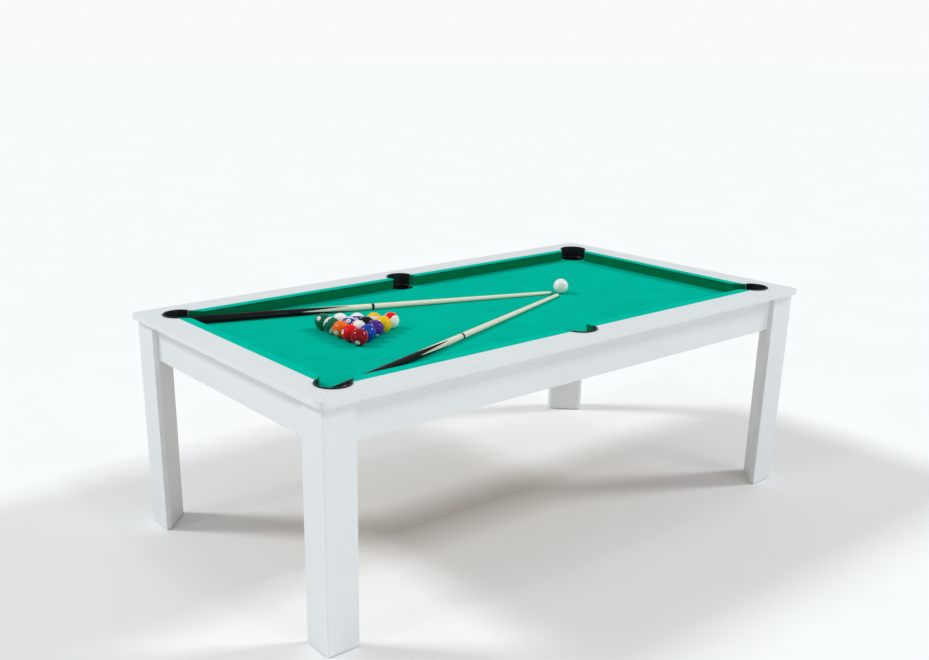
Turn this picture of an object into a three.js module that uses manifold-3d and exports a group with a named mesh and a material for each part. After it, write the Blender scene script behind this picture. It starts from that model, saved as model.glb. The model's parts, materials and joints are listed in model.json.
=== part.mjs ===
// A seven-foot pool table that doubles as a piece of furniture: white boards, a cloth-covered bed, six
// drop pockets, a rack of balls and two cues. Units are millimetres. +Z is up, +X runs along the long
// side, and the origin is on the floor under the middle of the table. Parts that touch keep a seam of
// `gap` between them.

import * as THREE from 'three';
import { mergeVertices } from 'three/addons/utils/BufferGeometryUtils.js';
import Module from 'manifold-3d';

const wasm = await Module();
wasm.setup();

// ---- Driving dimensions ----

const tableLength = 2200;
const tableWidth = 1200;
const railTop = 790;
const gap = 0.3;

const railWidth = 100;
const railThickness = 19;
const railCornerRadius = 30;
const railEdgeRound = 2;
const backingWidth = 40; // block under the inner half of a rail, which the cushions are glued to

const bedDrop = 40; // rail top down to the cloth
const clothThickness = 1;
const slabThickness = 18;
const ledgerSize = 18; // square strip inside an apron, which carries the slab
const beamSpacing = 1000;
const beamWidth = 40;
const beamHeight = 60;

const apronDrop = 148; // rail top down to the bottom edge of the aprons
const apronThickness = 18;

const legInset = 20; // overhang of the rails past the legs
const legWidth = 110;
const legBoardThickness = 18;
const legPanelThickness = 12; // diagonal panel that closes a leg on its inner side
const legFloorGap = 3; // the boards stand this far above the floor, on the levelling feet

const footPadThickness = 6;
const footPadClearance = 4; // from the pad to the inside of the leg
const footBlockHeight = 40;
const footStudRadius = 4;
const footStudLength = 26;
const footStudClearance = 0.3;
const footPadEase = 1;

const cushionDepth = 36; // from the rail to the nose
const cushionNoseRise = 3; // the top slopes up this much towards the nose
const cushionNoseHeight = 9; // upright part of the nose
const cushionUndercut = 5; // the foot of the face stands back from the nose
const cushionNoseEase = [6, 2]; // the nose is rounded over this depth on top and this height in front
const cushionNoseBulge = 1;
const cornerJawAngle = 46; // degrees off square, at the corner pockets
const sideJawAngle = 3; // degrees off square, at the side pockets
const jawTipEase = 7; // the tips are rounded over this length

const cornerPocketInset = 125; // from the outside of both rails to the pocket's centre
const sidePocketInset = 110;
const pocketRadius = 49;
const pocketWall = 4;
const flangeWidth = 7; // from the inner wall to the rim of the flange
const flangeHeight = 4;
const flangeEase = 1.6;
const cupDepth = 95; // from the cloth down to the underside of the cup
const cupStep = 1; // the cup is this much wider than the wall above the bed
const cupTaper = 6; // from the shoulder down to the bottom
const cupWall = 3;
const cupShoulder = 30; // the cup keeps its full radius this far below the cloth
const cutClearance = 0.5; // around a pocket in the rails and aprons
const bedHoleClearance = 2; // around a cup in the slab and the cloth
const slabNotchStep = 23; // from the near edge of a corner hole to the square notch that opens it

const ballDiameter = 57.2;
const rackSpacing = 0.8; // the racked balls stand slightly apart
const rackInset = 479; // from the outside of the left rail to the ball at the apex
const rackAside = -102; // the apex ball's Y
const rackHeading = 57; // degrees from +X, from the apex towards the back row
const cueBallAside = 22; // the cue ball's Y
const cueBallClearance = 12.7; // along X, from the far cue's tip

const cueLength = 1450;
const cueJointAt = 735; // from the tip
const cueTipRadius = 6.3;
const cueButtRadius = 14.8;
const cueEndEase = 3;
const cueTipDome = [1.5, 0.6]; // the tip is this much narrower at this distance from its end
const cueRestGap = 0.5; // the cues lie this far above the cloth
const cuePastJaw = 96; // each butt reaches this far past the tip of the jaw that it lies beside
const cueFromJaw = [-5, -14]; // from that tip to the cue's axis, outwards along X and along Y
const jointPinRadius = 4;
const jointPinLength = 20;
const jointPinClearance = 0.3;
const cues = [
  { name: 'cue_far', tipAside: 28, side: 1 },
  { name: 'cue_near', tipAside: -11, side: -1 },
];

const cutReach = 1; // extra reach of a cutting solid past the faces that it cuts
const openReach = 250; // from a pocket's centre to well past the edge of the bed
const roundSegments = 28;
const cueSegments = 16;
const ballSegments = [14, 9];

// ---- Levels and insets that follow from them ----

const halfLength = tableLength / 2;
const halfWidth = tableWidth / 2;
const bedTop = railTop - bedDrop;
const slabTop = bedTop - clothThickness - gap;
const slabBottom = slabTop - slabThickness;
const railUnderside = railTop - railThickness;
const apronTop = railUnderside - gap;
const apronBottom = railTop - apronDrop;
const apronInset = legInset + legBoardThickness + gap;
const apronInnerInset = apronInset + apronThickness;
const bedInset = apronInnerInset + gap;
const ledgerTop = slabBottom - gap;
const ledgerBottom = ledgerTop - ledgerSize;
const wallRadius = pocketRadius + pocketWall;
const cupRadius = pocketRadius + cupStep;
const cupBottomRadius = cupRadius - cupTaper;
const bedHoleRadius = cupRadius + bedHoleClearance;
const flangeRadius = pocketRadius + flangeWidth;
const mitreEase = gap * Math.SQRT1_2; // along a rail, on each side of a mitre

// ---- Materials ----

const finish = (color, roughness, metalness = 0) =>
  new THREE.MeshStandardMaterial({ color, roughness, metalness });

const laminate = finish(0xe6e9ea, 0.42);
const cloth = finish(0x03ae93, 0.95);
const board = finish(0xb79c78, 0.8);
const blackPlastic = finish(0x1b1d24, 0.4);
const footPlastic = finish(0x2c2c2e, 0.6);
const maple = finish(0xe4cda4, 0.3);
const buttLacquer = finish(0x141416, 0.2);
const ballColors = {
  cue: 0xf4efe4,
  1: 0xf2b61c, 2: 0x1d3fa5, 3: 0xc9231d, 4: 0x4a2a78, 5: 0xe8631c, 6: 0x0d6b4a, 7: 0x8a1a24, 8: 0x101012,
};

// ---- Solids ----

function toSolid(geometry) {
  const bare = new THREE.BufferGeometry();
  bare.setAttribute('position', geometry.getAttribute('position'));
  bare.setIndex(geometry.getIndex());
  const welded = mergeVertices(bare, 1e-4);
  return new wasm.Manifold(new wasm.Mesh({
    numProp: 3,
    vertProperties: Float32Array.from(welded.getAttribute('position').array),
    triVerts: Uint32Array.from(welded.getIndex().array),
  }));
}

function toGeometry(solid) {
  const { vertProperties, triVerts } = solid.getMesh();
  const geometry = new THREE.BufferGeometry();
  geometry.setAttribute('position', new THREE.BufferAttribute(vertProperties, 3));
  geometry.setIndex(new THREE.BufferAttribute(triVerts, 1));
  geometry.computeVertexNormals();
  return geometry;
}

const outline = (points) => new THREE.Shape(points.map(([x, y]) => new THREE.Vector2(x, y)));

function prism(shape, low, high) {
  const geometry = new THREE.ExtrudeGeometry(shape, { depth: high - low, bevelEnabled: false });
  return toSolid(geometry.translate(0, 0, low));
}

function block([x0, x1], [y0, y1], [z0, z1]) {
  const geometry = new THREE.BoxGeometry(x1 - x0, y1 - y0, z1 - z0);
  return toSolid(geometry.translate((x0 + x1) / 2, (y0 + y1) / 2, (z0 + z1) / 2));
}

function post(radius, [x, y], low, high) {
  const geometry = new THREE.CylinderGeometry(radius, radius, high - low, roundSegments);
  return toSolid(geometry.rotateX(Math.PI / 2).translate(x, y, (low + high) / 2));
}

function lathedAlongY(points, segments = cueSegments) {
  return new THREE.LatheGeometry(points.map(([radius, y]) => new THREE.Vector2(radius, y)), segments);
}

// Revolves [radius, height] points about the upright axis.
const turned = (points) => lathedAlongY(points, roundSegments).rotateX(Math.PI / 2);

function addMesh(group, name, geometry, material) {
  const mesh = new THREE.Mesh(geometry, material);
  mesh.name = name;
  group.add(mesh);
  return mesh;
}

// ---- The four sides: rail, apron and cushions ----
// Each side is built as the front one, with its rail along y = -depth, and then turned into place.

const table = new THREE.Group();

const sides = [
  { name: 'front', half: halfLength, depth: halfWidth, ends: ['left', 'right'] },
  { name: 'right', half: halfWidth, depth: halfLength },
  { name: 'back', half: halfLength, depth: halfWidth, ends: ['right', 'left'] },
  { name: 'left', half: halfWidth, depth: halfLength },
];

function sidePockets({ half, depth, ends }) {
  const corner = [half - cornerPocketInset, cornerPocketInset - depth];
  const middle = ends ? [[0, sidePocketInset - depth]] : [];
  return [[-corner[0], corner[1]], corner, ...middle];
}

function cutAtPockets(solid, side) {
  const radius = wallRadius + cutClearance;
  return sidePockets(side).reduce(
    (rest, centre) => rest.subtract(post(radius, centre, bedTop - cupDepth - cutReach, railTop + cutReach)),
    solid,
  );
}

// A strip of a side between two insets from its outer edge, mitred at both ends.
function mitredStrip({ half, depth }, outer, inner, low, high) {
  const reach = (inset) => half - inset - mitreEase;
  return prism(outline([
    [-reach(outer), outer - depth],
    [reach(outer), outer - depth],
    [reach(inner), inner - depth],
    [-reach(inner), inner - depth],
  ]), low, high);
}

// The whole table top outline as a board with rounded corners and edges.
function topBoard({ half, depth }) {
  const x = half - railCornerRadius;
  const y = depth - railCornerRadius;
  const shape = new THREE.Shape();
  shape.absarc(x, y, railCornerRadius, 0, Math.PI / 2);
  shape.absarc(-x, y, railCornerRadius, Math.PI / 2, Math.PI);
  shape.absarc(-x, -y, railCornerRadius, Math.PI, 1.5 * Math.PI);
  shape.absarc(x, -y, railCornerRadius, 1.5 * Math.PI, 2 * Math.PI);
  const geometry = new THREE.ExtrudeGeometry(shape, {
    depth: railThickness - 2 * railEdgeRound,
    curveSegments: 8,
    bevelThickness: railEdgeRound,
    bevelSize: railEdgeRound,
    bevelOffset: -railEdgeRound,
    bevelSegments: 2,
  });
  return toSolid(geometry.translate(0, 0, railUnderside + railEdgeRound));
}

function railGeometry(side) {
  const strip = mitredStrip(side, -cutReach, railWidth, railUnderside - cutReach, railTop + cutReach);
  const backingInset = railWidth - backingWidth;
  const backing = mitredStrip(side, backingInset, railWidth, bedTop + gap, railTop - railEdgeRound);
  const rail = topBoard(side).intersect(strip).add(backing);
  return toGeometry(cutAtPockets(rail, side));
}

// The long aprons run the full length, and the end ones fit between them.
function apronGeometry(side) {
  const between = side.half - apronInnerInset - gap;
  const half = side.ends ? side.half - apronInset : between;
  const ledgerHalf = side.ends ? between : between - ledgerSize;
  const face = apronInset - side.depth;
  const back = apronInnerInset - side.depth;
  const apron = block([-half, half], [face, back], [apronBottom, apronTop]);
  const ledger = block(
    [-ledgerHalf, ledgerHalf], [back - cutReach, back + ledgerSize], [ledgerBottom, ledgerTop],
  );
  return toGeometry(cutAtPockets(apron.add(ledger), side));
}

// Rubber cushion section: x is the distance from the rail, y is the height.
function cushionSection() {
  const top = railTop - gap;
  const noseTop = top + cushionNoseRise;
  const noseBottom = noseTop - cushionNoseHeight;
  const [topEase, frontEase] = cushionNoseEase;
  const front = cushionDepth - cushionNoseBulge;
  const crown = noseTop - cushionNoseRise * topEase / cushionDepth;
  const shape = new THREE.Shape();
  shape.moveTo(0, bedTop + gap);
  shape.lineTo(cushionDepth - cushionUndercut, bedTop + gap);
  shape.lineTo(front, noseBottom);
  shape.quadraticCurveTo(cushionDepth, (noseTop + noseBottom) / 2, front, noseTop - frontEase);
  shape.quadraticCurveTo(front - cushionNoseBulge, noseTop, cushionDepth - topEase, crown);
  shape.lineTo(0, top);
  return shape;
}

// Seen from above: between x = start and x = end at the rail, with jaws that lean inwards by two angles.
function cushionPlan(depth, [start, startAngle], [end, endAngle]) {
  const back = railWidth + gap - depth;
  const nose = back + cushionDepth;
  const tipStart = start + cushionDepth * Math.tan(THREE.MathUtils.degToRad(startAngle));
  const tipEnd = end - cushionDepth * Math.tan(THREE.MathUtils.degToRad(endAngle));
  const along = (from, to, share) => from + (to - from) * share;
  const share = 1 - jawTipEase / cushionDepth;
  const shape = new THREE.Shape();
  shape.moveTo(start, back);
  shape.lineTo(along(start, tipStart, share), along(back, nose, share));
  shape.quadraticCurveTo(tipStart, nose, tipStart + jawTipEase, nose);
  shape.lineTo(tipEnd - jawTipEase, nose);
  shape.quadraticCurveTo(tipEnd, nose, along(end, tipEnd, share), along(back, nose, share));
  shape.lineTo(end, back);
  return shape;
}

function cushionGeometry({ depth }, start, end) {
  const bar = new THREE.ExtrudeGeometry(cushionSection(), {
    depth: end[0] - start[0], bevelEnabled: false, curveSegments: 3,
  });
  // The section's x becomes the way in from the rail, its y becomes up, and it runs along the rail.
  bar.applyMatrix4(new THREE.Matrix4().makeBasis(
    new THREE.Vector3(0, 1, 0), new THREE.Vector3(0, 0, 1), new THREE.Vector3(1, 0, 0),
  ));
  bar.translate(start[0], railWidth + gap - depth, 0);
  const plan = new THREE.ExtrudeGeometry(cushionPlan(depth, start, end), {
    depth: bedDrop + cushionNoseRise + 2 * cutReach, bevelEnabled: false, curveSegments: 4,
  });
  plan.translate(0, 0, bedTop - cutReach);
  return toGeometry(toSolid(bar).intersect(toSolid(plan)));
}

// Half the width that a liner's wall takes up along the inner edge of a rail.
const halfChord = (inset) => Math.sqrt(wallRadius ** 2 - (inset - railWidth) ** 2);

// How far a cushion reaches from the middle of its side, at the rail.
const cushionReach = (half) => half - cornerPocketInset - halfChord(cornerPocketInset) - gap;

function addCushions(group, side) {
  const cornerEnd = cushionReach(side.half);
  const start = [-cornerEnd, cornerJawAngle];
  const end = [cornerEnd, cornerJawAngle];
  if (!side.ends) {
    addMesh(group, `cushion_${side.name}`, cushionGeometry(side, start, end), cloth);
    return;
  }
  const middle = halfChord(sidePocketInset) + gap;
  const first = cushionGeometry(side, start, [-middle, sideJawAngle]);
  const second = cushionGeometry(side, [middle, sideJawAngle], end);
  addMesh(group, `cushion_${side.name}_${side.ends[0]}`, first, cloth);
  addMesh(group, `cushion_${side.name}_${side.ends[1]}`, second, cloth);
}

sides.forEach((side, turn) => {
  const group = new THREE.Group();
  group.rotation.z = turn * Math.PI / 2;
  addMesh(group, `rail_${side.name}`, railGeometry(side), laminate);
  addMesh(group, `apron_${side.name}`, apronGeometry(side), laminate);
  addCushions(group, side);
  table.add(group);
});

// ---- Bed: slab, cloth and the beams under them ----

const cornerX = halfLength - cornerPocketInset;
const cornerY = halfWidth - cornerPocketInset;
const middleY = halfWidth - sidePocketInset;
const pockets = [
  { name: 'front_left', at: [-cornerX, -cornerY] },
  { name: 'front_middle', at: [0, -middleY] },
  { name: 'front_right', at: [cornerX, -cornerY] },
  { name: 'back_right', at: [cornerX, cornerY] },
  { name: 'back_middle', at: [0, middleY] },
  { name: 'back_left', at: [-cornerX, cornerY] },
];

// The direction from a pocket away from the middle of the table, straight or at 45 degrees.
const outwardOf = ([x, y]) => Math.atan2(Math.sign(y), Math.sign(x));

// In the cloth a pocket is a round hole, opened outwards by a slot of the same width.
function clothCutOut(at, low, high) {
  const slot = new THREE.BoxGeometry(openReach, 2 * bedHoleRadius, high - low);
  slot.translate(openReach / 2, 0, (low + high) / 2).rotateZ(outwardOf(at)).translate(...at, 0);
  return post(bedHoleRadius, at, low, high).add(toSolid(slot));
}

// In the slab the hole opens into a square notch at a corner, and flares at 45 degrees in a long side.
function slabCutOut([x, y], low, high) {
  const notch = bedHoleRadius - slabNotchStep;
  const flare = bedHoleRadius * Math.SQRT1_2;
  const far = openReach - 2 * flare;
  const opening = x === 0
    ? [[-flare, -flare], [flare, -flare], [openReach, far], [-openReach, far]]
    : [[-notch, -notch], [openReach, -notch], [openReach, openReach], [-notch, openReach]];
  const shape = outline(opening.map(([u, v]) => [x + (Math.sign(x) || 1) * u, y + Math.sign(y) * v]));
  return post(bedHoleRadius, [x, y], low, high).add(prism(shape, low, high));
}

function bedLayer(low, high, cutOut) {
  const x = halfLength - bedInset;
  const y = halfWidth - bedInset;
  return toGeometry(pockets.reduce(
    (layer, { at }) => layer.subtract(cutOut(at, low - cutReach, high + cutReach)),
    block([-x, x], [-y, y], [low, high]),
  ));
}

function beamGeometry() {
  const top = slabBottom - gap;
  const low = top - beamHeight;
  const notch = ledgerBottom - gap;
  const outer = halfWidth - bedInset;
  const inner = outer - ledgerSize;
  const shape = outline([[-outer, low], [outer, low], [outer, notch], [inner, notch], [inner, top],
    [-inner, top], [-inner, notch], [-outer, notch]]);
  const geometry = new THREE.ExtrudeGeometry(shape, { depth: beamWidth, bevelEnabled: false });
  return geometry.applyMatrix4(new THREE.Matrix4().makeBasis(
    new THREE.Vector3(0, 1, 0), new THREE.Vector3(0, 0, 1), new THREE.Vector3(1, 0, 0),
  ));
}

addMesh(table, 'bed_slab', bedLayer(slabBottom, slabTop, slabCutOut), board);
addMesh(table, 'bed_cloth', bedLayer(bedTop - clothThickness, bedTop, clothCutOut), cloth);
for (const [name, sign] of [['left', -1], ['right', 1]]) {
  const beam = addMesh(table, `cross_beam_${name}`, beamGeometry(), board);
  beam.position.x = sign * beamSpacing / 2 - beamWidth / 2;
}

// ---- Pocket liners ----
// A liner is a closed cup below the bed and, above it, a wall with a flange on the rail's side only.

function linerGeometry(mouth) {
  const cupBottom = bedTop - cupDepth;
  const shoulder = bedTop - cupShoulder;
  const flangeTop = railTop + flangeHeight;
  const outside = [
    [0, cupBottom], [cupBottomRadius, cupBottom], [cupRadius, shoulder], [cupRadius, bedTop + gap],
    [wallRadius, bedTop + gap], [wallRadius, railTop + gap], [flangeRadius, railTop + gap],
    [flangeRadius, flangeTop - flangeEase], [flangeRadius - flangeEase, flangeTop],
  ];
  const inside = [
    [pocketRadius + flangeEase, flangeTop], [pocketRadius, flangeTop - flangeEase], [pocketRadius, bedTop],
    [cupRadius - cupWall, bedTop - cupWall], [cupRadius - cupWall, shoulder],
    [cupBottomRadius - cupWall, cupBottom + cupWall], [0, cupBottom + cupWall],
  ];
  const reach = 2 * flangeRadius;
  const opening = block([-reach, reach], [-reach, mouth], [bedTop - cupWall, flangeTop + cutReach]);
  return toGeometry(toSolid(turned([...outside, ...inside])).subtract(opening));
}

const cornerMouth = (cornerPocketInset - railWidth - halfChord(cornerPocketInset)) * Math.SQRT1_2;
const sideMouth = sidePocketInset - railWidth;

for (const { name, at: [x, y] } of pockets) {
  const geometry = linerGeometry(x === 0 ? sideMouth : cornerMouth);
  const liner = addMesh(table, `pocket_${name}`, geometry, blackPlastic);
  liner.position.set(x, y, 0);
  liner.rotation.z = outwardOf([x, y]) - Math.PI / 2;
}

// ---- Legs ----
// Built in the front left corner, from the corner of the table's outline, and turned for the others.

const legFace = legInset;
const legInner = legInset + legBoardThickness;
const legEnd = legInset + legWidth;
const panelRun = legPanelThickness * Math.SQRT2; // the panel's thickness, measured along a leg board
const hollowSide = legEnd - legInner - panelRun;
const footOffset = hollowSide * (1 - Math.SQRT1_2); // radius of the circle that fits in the hollow
const footPadRadius = footOffset - footPadClearance;
const footAt = [legInner + footOffset, legInner + footOffset];

function legBoardGeometry(isMirrored) {
  const points = [
    [legFace + mitreEase, legFace], [legEnd, legFace], [legEnd, legInner], [legInner + mitreEase, legInner],
  ];
  const shape = outline(isMirrored ? points.map(([x, y]) => [y, x]) : points);
  return toGeometry(prism(shape, legFloorGap, apronTop));
}

function legPanelGeometry() {
  const near = legInner + gap;
  const far = legEnd - gap;
  const panel = prism(outline([[far, near], [near, far], [near, far - panelRun], [far - panelRun, near]]),
    legFloorGap, apronBottom - gap);
  const blockBottom = footPadThickness + gap;
  const footBlock = prism(outline([[near, near], [far, near], [near, far]]), blockBottom,
    blockBottom + footBlockHeight);
  const bore = post(footStudRadius + footStudClearance, footAt, blockBottom - cutReach,
    footPadThickness + footStudLength + gap);
  return toGeometry(panel.add(footBlock).subtract(bore));
}

function footGeometry() {
  return turned([
    [0, 0], [footPadRadius - footPadEase, 0], [footPadRadius, footPadEase],
    [footPadRadius, footPadThickness - footPadEase], [footPadRadius - footPadEase, footPadThickness],
    [footStudRadius, footPadThickness],
    [footStudRadius, footPadThickness + footStudLength], [0, footPadThickness + footStudLength],
  ]);
}

const corners = [
  { name: 'front_left', signs: [-1, -1] },
  { name: 'front_right', signs: [1, -1] },
  { name: 'back_right', signs: [1, 1] },
  { name: 'back_left', signs: [-1, 1] },
];

corners.forEach(({ name, signs }, turn) => {
  const group = new THREE.Group();
  group.position.set(signs[0] * halfLength, signs[1] * halfWidth, 0);
  group.rotation.z = turn * Math.PI / 2;
  addMesh(group, `leg_${name}_board_${sides[turn].name}`, legBoardGeometry(false), laminate);
  addMesh(group, `leg_${name}_board_${sides[(turn + 3) % 4].name}`, legBoardGeometry(true), laminate);
  addMesh(group, `leg_${name}_panel`, legPanelGeometry(), laminate);
  const foot = addMesh(group, `foot_${name}`, footGeometry(), footPlastic);
  foot.position.set(footAt[0], footAt[1], 0);
  table.add(group);
});

// ---- Cues ----
// Built along +Y from the tip. Each lies on the cloth along its lower side, so its axis rises to the butt.

const cueRadiusAt = (distance) => cueTipRadius + (cueButtRadius - cueTipRadius) * distance / cueLength;

function shaftGeometry() {
  const joint = cueRadiusAt(cueJointAt);
  const pinEnd = cueJointAt + jointPinLength;
  return lathedAlongY([
    [0, 0], [cueTipRadius - cueTipDome[0], cueTipDome[1]], [cueRadiusAt(cueEndEase), cueEndEase],
    [joint, cueJointAt],
    [jointPinRadius, cueJointAt], [jointPinRadius, pinEnd], [0, pinEnd],
  ]);
}

function buttGeometry() {
  const boreRadius = jointPinRadius + jointPinClearance;
  const boreEnd = cueJointAt + jointPinLength + gap;
  const start = cueJointAt + gap;
  const easeStart = cueLength - cueEndEase;
  return lathedAlongY([
    [0, boreEnd], [boreRadius, boreEnd], [boreRadius, start], [cueRadiusAt(start), start],
    [cueRadiusAt(easeStart), easeStart], [cueButtRadius - cueEndEase, cueLength], [0, cueLength],
  ]);
}

// The axis of a cue on the cloth: it passes beside the tip of the corner jaw on the long rail, and
// its length then sets how far along the table its tip lies.
function cueLine({ tipAside, side }) {
  const jawX = cushionReach(halfLength) - cushionDepth * Math.tan(THREE.MathUtils.degToRad(cornerJawAngle));
  const jawY = halfWidth - railWidth - gap - cushionDepth;
  const beside = new THREE.Vector2(cueFromJaw[0] - jawX, side * (jawY + cueFromJaw[1]));
  const across = beside.y - tipAside;
  const along = Math.sqrt((cueLength - cuePastJaw) ** 2 - across ** 2);
  const tip = new THREE.Vector2(beside.x + along, tipAside);
  return { tip, run: beside.sub(tip).normalize() };
}

for (const cue of cues) {
  const { tip, run } = cueLine(cue);
  const rise = (cueButtRadius - cueTipRadius) / cueLength;
  const direction = new THREE.Vector3(run.x, run.y, rise).normalize();
  const group = new THREE.Group();
  group.position.set(tip.x, tip.y, bedTop + cueRestGap + cueTipRadius);
  group.quaternion.setFromUnitVectors(new THREE.Vector3(0, 1, 0), direction);
  addMesh(group, `${cue.name}_shaft`, shaftGeometry(), maple);
  addMesh(group, `${cue.name}_butt`, buttGeometry(), buttLacquer);
  table.add(group);
}

// ---- Balls ----

function addBall(key, [x, y]) {
  const geometry = new THREE.SphereGeometry(ballDiameter / 2, ...ballSegments).rotateX(Math.PI / 2);
  const color = ballColors[key > 8 ? key - 8 : key];
  const name = key === 'cue' ? 'ball_cue' : `ball_${String(key).padStart(2, '0')}`;
  const ball = addMesh(table, name, geometry, finish(color, 0.12));
  ball.position.set(x, y, bedTop + gap + ballDiameter / 2);
}

// Rows from the apex to the back, each from left to right as seen from the apex.
const rack = [[7], [3, 2], [5, 13, 4], [14, 10, 8, 1], [6, 15, 12, 9, 11]];
const rackApex = [rackInset - halfLength, rackAside];
const ballPitch = ballDiameter + rackSpacing;
const rackStep = (angle) => {
  const turn = THREE.MathUtils.degToRad(rackHeading + angle);
  return [ballPitch * Math.cos(turn), ballPitch * Math.sin(turn)];
};
const stepLeft = rackStep(30);
const stepRight = rackStep(-30);

rack.forEach((row, depth) => row.forEach((number, across) => {
  const left = depth - across;
  addBall(number, [0, 1].map((axis) => rackApex[axis] + left * stepLeft[axis] + across * stepRight[axis]));
}));
addBall('cue', [cueLine(cues[0]).tip.x + cueBallClearance + ballDiameter / 2, cueBallAside]);

export default table;
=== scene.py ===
"""A white furniture-style pool table with a racked set of balls, a cue ball and two cues."""

import json
import math

import bmesh
import bpy
from mathutils import Matrix, Vector


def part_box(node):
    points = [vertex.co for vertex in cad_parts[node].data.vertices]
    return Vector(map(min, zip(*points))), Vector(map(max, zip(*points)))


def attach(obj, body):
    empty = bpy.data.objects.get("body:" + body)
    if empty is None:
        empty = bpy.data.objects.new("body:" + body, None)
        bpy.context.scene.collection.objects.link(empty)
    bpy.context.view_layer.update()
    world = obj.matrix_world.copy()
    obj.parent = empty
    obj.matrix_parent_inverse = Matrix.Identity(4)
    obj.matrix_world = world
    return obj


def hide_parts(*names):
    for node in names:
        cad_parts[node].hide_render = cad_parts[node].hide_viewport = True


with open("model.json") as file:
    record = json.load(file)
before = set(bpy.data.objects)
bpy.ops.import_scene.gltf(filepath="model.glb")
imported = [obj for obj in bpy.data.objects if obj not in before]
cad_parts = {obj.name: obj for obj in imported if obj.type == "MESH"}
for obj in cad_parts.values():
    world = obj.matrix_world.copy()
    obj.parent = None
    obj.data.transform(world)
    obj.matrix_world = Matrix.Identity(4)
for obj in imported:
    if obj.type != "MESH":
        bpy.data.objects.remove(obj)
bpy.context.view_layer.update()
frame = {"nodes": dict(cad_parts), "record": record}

MM = 0.001

# ---- Camera ----

CAMERA_AT = Vector((-2.5058, -2.7784, 1.7008))
CAMERA_AZIMUTH = -38.10  # degrees: 0 looks along +Y
CAMERA_ELEVATION = 18.71
CAMERA_ROLL = 0.28
CAMERA_LENS = 40.56  # millimetres, on a 36 mm sensor
CAMERA_SHIFT = (0.0575, 0.0660)

# ---- Sizes, in millimetres ----

BOARD_EDGE = 0.3  # rounding of the boards' edges
WELD_REACH = 0.005
DOUBLES_REACH = 0.002

CUSHION_DEPTH = 36
CUSHION_NOSE_RISE = 3
CUSHION_NOSE_HEIGHT = 9
CUSHION_NOSE_REACH = 5  # depth of the rounded nose
NOSE_START, NOSE_SWEEP = -62, 150  # degrees round the nose, from level
CUSHION_UNDERCUT = 5
CUSHION_TIP_EASE = 8  # the jaw's tip is rounded over about this length
CUSHION_EDGE = 0.9
JAW_START = 1.2  # depth of a jaw's first section
CORNER_JAW = 46  # degrees off square
SIDE_JAW = 3

HOLE_RIM = 0.5  # the cloth starts to turn down this far outside the slab's cut-out
CLOTH_THICKNESS = 0.8
CLOTH_FLAP = 9  # length of cloth turned down into a pocket
CLOTH_TURN_STEPS = 5
SLAB_HOLE = 52

POCKET_RADIUS = 49
POCKET_WALL = 4
FLANGE_RADIUS = 56
FLANGE_HEIGHT = 4
FLANGE_EASE = 1.8
FLANGE_STEP = 0.4  # the flange's underside ends this far inside its rim
LIP_EXTRA = 0.6  # the inner lip is rounded more than the rim
CUP_DEPTH = 95
CUP_RADIUS = 50
CUP_BOTTOM_RADIUS = 44
CUP_WALL = 3
CUP_SHOULDER = 30
CUP_FILLET = 6
LINER_SEAM = 0.3
LINER_EDGE = 1.1
LINER_SHARP = 30  # degrees

BALL_SEGMENTS = (72, 40)
NUMBER_DISC = 16.5  # degrees, from the disc's middle to its edge
STRIPE_HALF = 29  # degrees, from the stripe's middle to its edge
DIGIT_HEIGHT = 9
TWO_DIGIT_SQUEEZE = 0.82
DIGIT_PROUD = 0.04
UNDERLINE = (0.66, 0.55, 0.1)  # below a 6 or a 9: drop, width and height as shares of a digit's height
DIGIT_SUNK = 0.3
DIGIT_STEP = 0.9  # the digits are cut into cells of this size so that they follow the ball

CUE_SEGMENTS = 48
CUE_TIP_LENGTH = 5
FERRULE_LENGTH = 20
COLLAR_HALF = 5  # half the length of the joint's black ring
COLLAR_TRIM = 3.5  # pale ring on each side of it
SPLICE_START = 815
SPLICE_END = 1015
SPLICE_POINTS = 4
SPLICE_TURN = 55  # degrees round the cue, from level towards the front, to one of the points
SPLICE_MARGIN = 8
BUMPER_LENGTH = 12
BUMPER_FULLNESS = 0.35  # the lower, the squarer
BUMPER_STEP = 0.9


# ---- Materials ----


def shader_of(name, roughness, **sockets):
    """A new material and its node tree and principled shader, with plain values set on the shader."""
    material = bpy.data.materials.new(name)
    material.use_nodes = True
    shader = material.node_tree.nodes["Principled BSDF"]
    shader.inputs["Roughness"].default_value = roughness
    for socket, value in sockets.items():
        shader.inputs[socket.replace("_", " ")].default_value = value
    return material, material.node_tree, shader


def scaled_place(tree, scale):
    """Object coordinates, in metres, multiplied by a scale along each axis."""
    place = tree.nodes.new("ShaderNodeTexCoord")
    mapping = tree.nodes.new("ShaderNodeMapping")
    mapping.inputs["Scale"].default_value = scale
    tree.links.new(place.outputs["Object"], mapping.inputs["Vector"])
    return mapping.outputs["Vector"]


def noise(tree, place, scale, detail=2.0, roughness=0.5, distortion=0.0):
    texture = tree.nodes.new("ShaderNodeTexNoise")
    for socket, value in (
        ("Scale", scale), ("Detail", detail), ("Roughness", roughness), ("Distortion", distortion),
    ):
        texture.inputs[socket].default_value = value
    tree.links.new(place, texture.inputs["Vector"])
    return texture.outputs["Fac"]


def ramp(tree, factor, *stops):
    """Colours by factor: each stop is (position, colour)."""
    node = tree.nodes.new("ShaderNodeValToRGB")
    elements = node.color_ramp.elements
    while len(elements) < len(stops):
        elements.new(0.5)
    for element, (position, colour) in zip(elements, stops):
        element.position = position
        element.color = (*colour, 1)
    tree.links.new(factor, node.inputs["Fac"])
    return node.outputs["Color"]


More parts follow.
